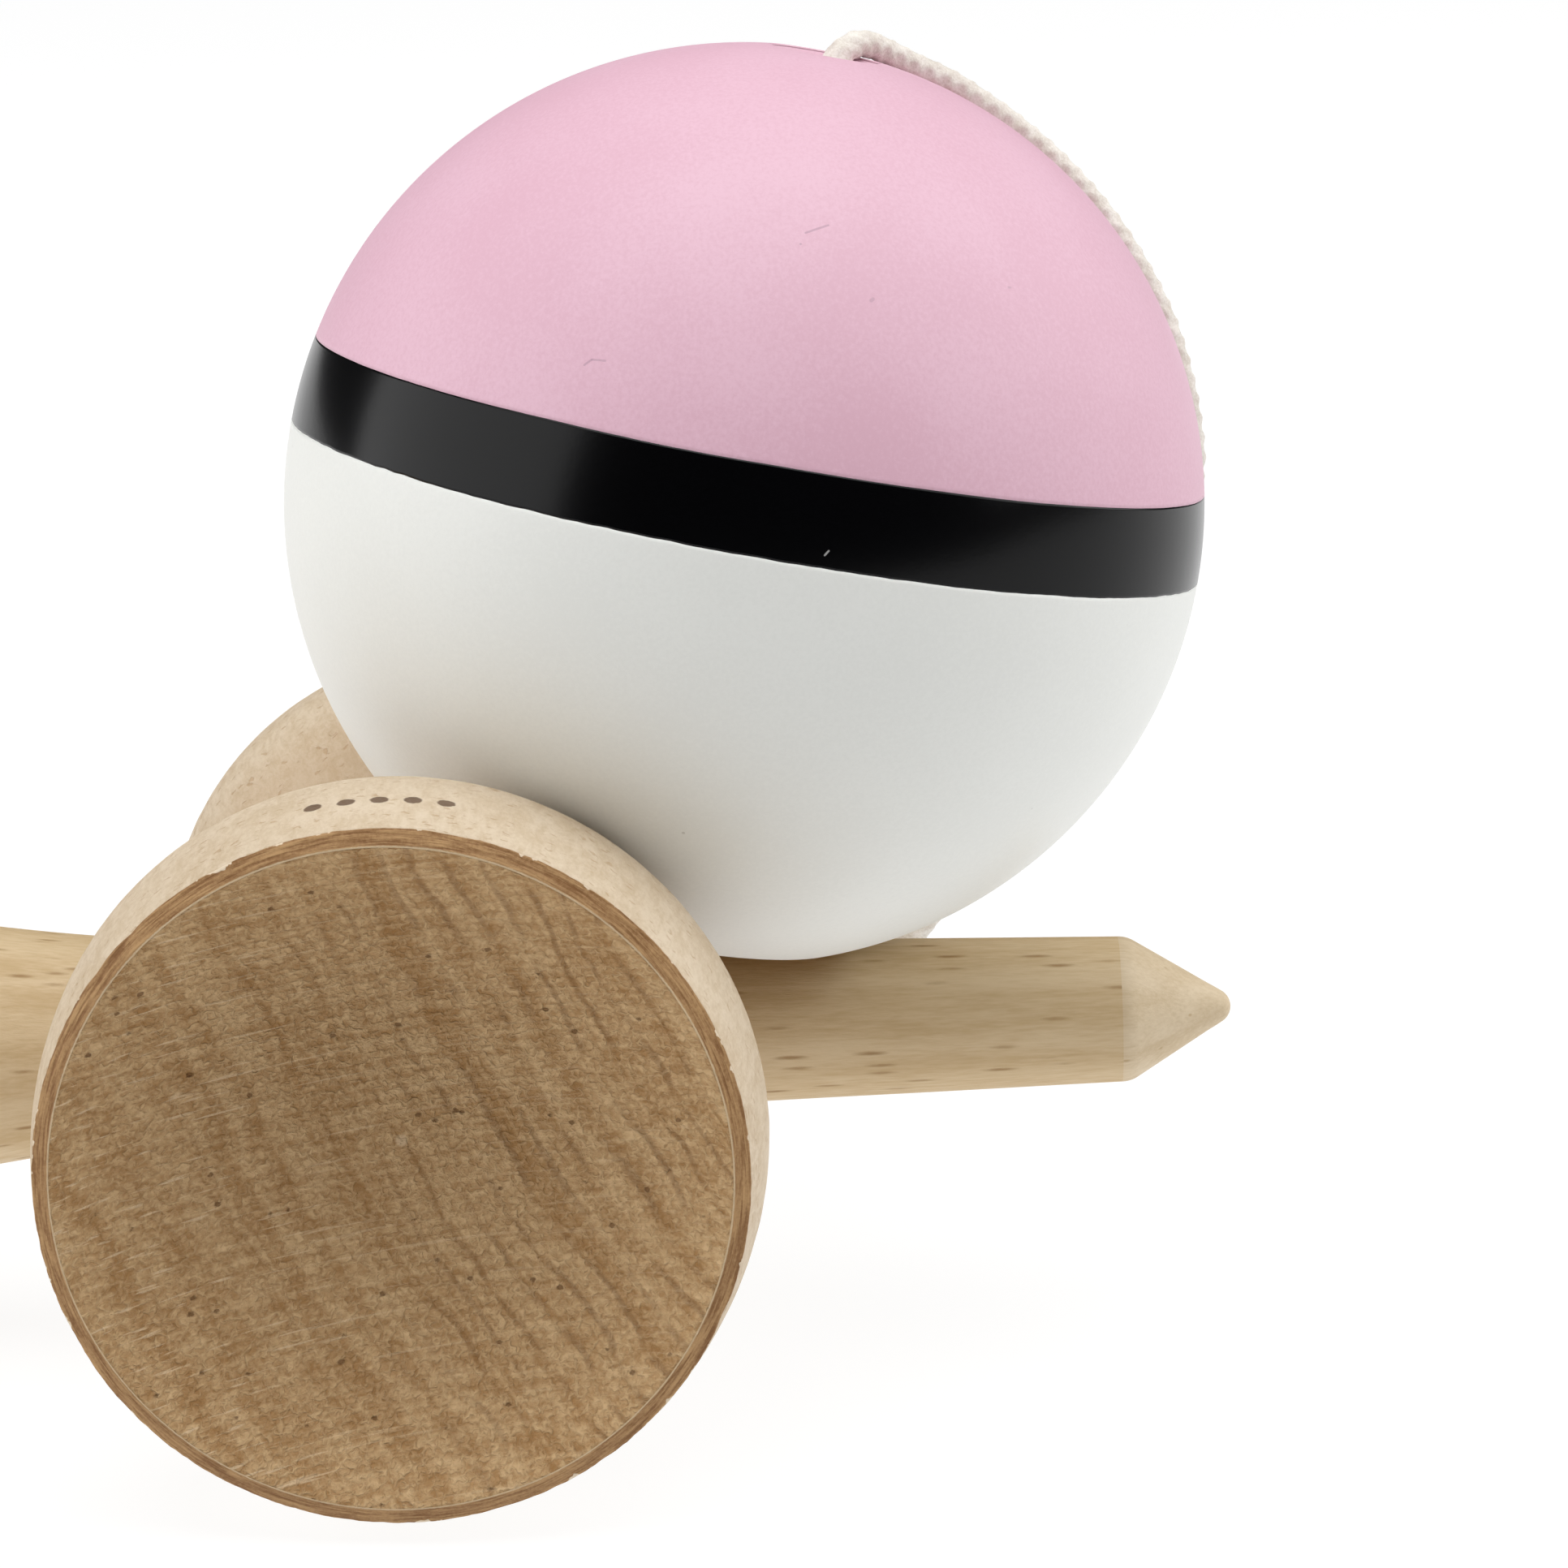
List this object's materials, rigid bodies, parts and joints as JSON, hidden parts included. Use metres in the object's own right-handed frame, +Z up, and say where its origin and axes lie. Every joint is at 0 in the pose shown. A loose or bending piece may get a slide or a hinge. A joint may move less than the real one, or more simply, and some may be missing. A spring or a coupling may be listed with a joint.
{
  "type": "kendama",
  "caption": "Wooden kendama lying on its side, with a painted ball and its cord still coiled in a tie.",
  "frame": {"origin": "on the surface it lies on, under the middle of the handle, cross-piece and ball, cord left out", "axes": "+Z up, +X along the handle towards the spike, +Y from the large cup towards the small cup"},
  "size_m": [0.1818, 0.1114, 0.0874],
  "materials": {
    "beech": "satin",
    "maple": "satin",
    "ball_wood": "satin",
    "paint_pink": "satin",
    "paint_black": "gloss",
    "paint_white": "satin",
    "cord": "matte",
    "bead": "satin",
    "tie": "matte"
  },
  "bodies": {
    "ken": {"ken": "beech", "sarado": "maple", "ken_knot": "cord", "string_fall": "cord", "string_coil": "cord", "string_lead": "cord", "string_tie": "tie"},
    "string_end": {"bead": "bead", "bead_knot": "cord", "string_drape": "cord"},
    "tama": {"tama": "ball_wood", "coat_upper": "paint_pink", "coat_stripe": "paint_black", "coat_lower": "paint_white"}
  },
  "joints": [
    {"name": "tama_lift", "type": "slide", "parent": "ken", "child": "string_end", "axis": [0, 0, 1], "range_m": [0, 0.04]},
    {"name": "tama_spin", "type": "hinge", "parent": "string_end", "child": "tama", "pos_m": [0.05861, 0.0012, 0.05714], "axis": [0.178, 0.0934, 0.9796], "continuous": true}
  ]
}
